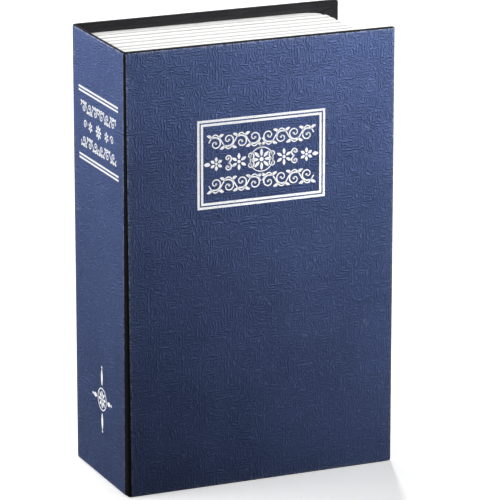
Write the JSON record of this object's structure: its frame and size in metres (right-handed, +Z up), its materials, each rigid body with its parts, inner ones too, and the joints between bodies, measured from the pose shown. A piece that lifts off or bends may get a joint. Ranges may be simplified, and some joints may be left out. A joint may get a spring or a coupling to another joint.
{
  "type": "book diversion safe",
  "caption": "Hard-cover book whose front cover opens on a moulded page block holding a steel cash box with a hinged lid and a three-wheel combination lock.",
  "frame": {"origin": "middle of the book's foot, on the surface it stands on", "axes": "+Z up from tail to head, -Y out of the front cover, -X out of the spine"},
  "size_m": [0.115, 0.057, 0.18],
  "materials": {
    "board": "grey board in dark wrap",
    "cover_paper": "embossed, satin",
    "lining": "matte, fine grain",
    "joint_cloth": "book cloth",
    "page_plastic": "moulded, satin",
    "box_steel": "black powder coat",
    "bright_steel": "zinc plated",
    "spring_steel": "polished strip",
    "brass": "turned",
    "dial_metal": "satin plated",
    "black_plastic": "moulded, fine texture"
  },
  "bodies": {
    "root": {"back_board": "board", "back_paper": "cover_paper", "back_lining": "lining", "spine_board": "board", "spine_paper": "cover_paper", "spine_lining": "lining", "back_joint_cloth": "joint_cloth", "front_joint_cloth": "joint_cloth", "page_block": "page_plastic", "box_tray": "box_steel", "hinge_leaf_tray": "box_steel", "hinge_pin": "bright_steel", "strike_plate": "bright_steel", "box_screw_1": "bright_steel", "box_screw_2": "bright_steel", "box_screw_3": "bright_steel", "box_screw_4": "bright_steel", "strike_rivet_1": "bright_steel", "strike_rivet_2": "bright_steel"},
    "front_cover": {"front_board": "board", "front_paper": "cover_paper", "front_lining": "lining"},
    "lid": {"box_lid": "box_steel", "hinge_leaf_lid": "box_steel", "lock_bezel": "black_plastic", "lock_housing": "black_plastic", "lock_cover": "bright_steel", "dial_axle": "bright_steel", "detent_spring": "spring_steel", "lock_screw_1": "bright_steel", "lock_screw_2": "bright_steel", "lock_screw_3": "bright_steel", "lock_screw_4": "bright_steel"},
    "wheel_1": {"dial_1": "dial_metal", "code_ring_1": "brass"},
    "wheel_2": {"dial_2": "dial_metal", "code_ring_2": "brass"},
    "wheel_3": {"dial_3": "dial_metal", "code_ring_3": "brass"},
    "latch": {"latch_bolt": "bright_steel", "latch_knob": "dial_metal"},
    "reset": {"reset_lever": "black_plastic"}
  },
  "joints": [
    {"name": "cover_hinge", "type": "hinge", "parent": "root", "child": "front_cover", "pos_m": [-0.0568, -0.0282, 0.09], "axis": [0, 0, -1], "range_deg": [0, 180], "deforming": ["front_joint_cloth"]},
    {"name": "lid_hinge", "type": "hinge", "parent": "root", "child": "lid", "pos_m": [-0.0429, -0.0211, 0.09], "axis": [0, 0, -1], "range_deg": [0, 105]},
    {"name": "wheel_1_turn", "type": "hinge", "parent": "lid", "child": "wheel_1", "pos_m": [0.0164, -0.0147, 0.094], "axis": [0, 0, 1], "continuous": true},
    {"name": "wheel_2_turn", "type": "hinge", "parent": "lid", "child": "wheel_2", "pos_m": [0.0164, -0.0147, 0.102], "axis": [0, 0, 1], "continuous": true},
    {"name": "wheel_3_turn", "type": "hinge", "parent": "lid", "child": "wheel_3", "pos_m": [0.0164, -0.0147, 0.11], "axis": [0, 0, 1], "continuous": true},
    {"name": "bolt_slide", "type": "slide", "parent": "lid", "child": "latch", "axis": [1, 0, 0], "range_m": [0, 0.0035]},
    {"name": "reset_slide", "type": "slide", "parent": "lid", "child": "reset", "axis": [0, 0, 1], "range_m": [0, 0.004]}
  ],
  "couplings": [
    {"joint": "lid_hinge", "follows": "cover_hinge", "ratio": 0.5833}
  ]
}
